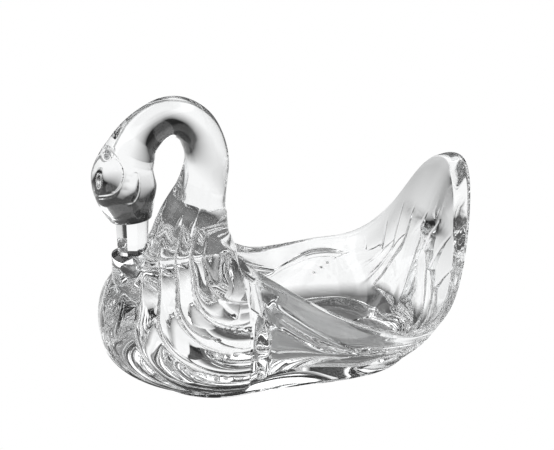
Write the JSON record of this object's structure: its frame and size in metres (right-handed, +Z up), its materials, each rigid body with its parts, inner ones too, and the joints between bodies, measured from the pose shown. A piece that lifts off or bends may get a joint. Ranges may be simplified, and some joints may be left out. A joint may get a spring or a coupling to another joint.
{
  "type": "crystal swan dish",
  "caption": "Clear pressed crystal swan: an open dish between feathered wings, with an upswept tail and a looped neck whose bill rests on the breast.",
  "frame": {"origin": "middle of the underside of the flat foot, on the surface that the swan stands on", "axes": "+Z up; X along the swan, head at -X and tail at +X; the two sides mirror each other in the XZ plane"},
  "size_m": [0.2421, 0.1466, 0.1825],
  "materials": {
    "crystal": "polished"
  },
  "bodies": {
    "root": {"foot": "crystal", "bowl": "crystal", "tail": "crystal", "left_wing": "crystal", "right_wing": "crystal", "breast": "crystal", "chest_pad": "crystal", "neck": "crystal", "head": "crystal", "bill": "crystal"}
  },
  "joints": []
}
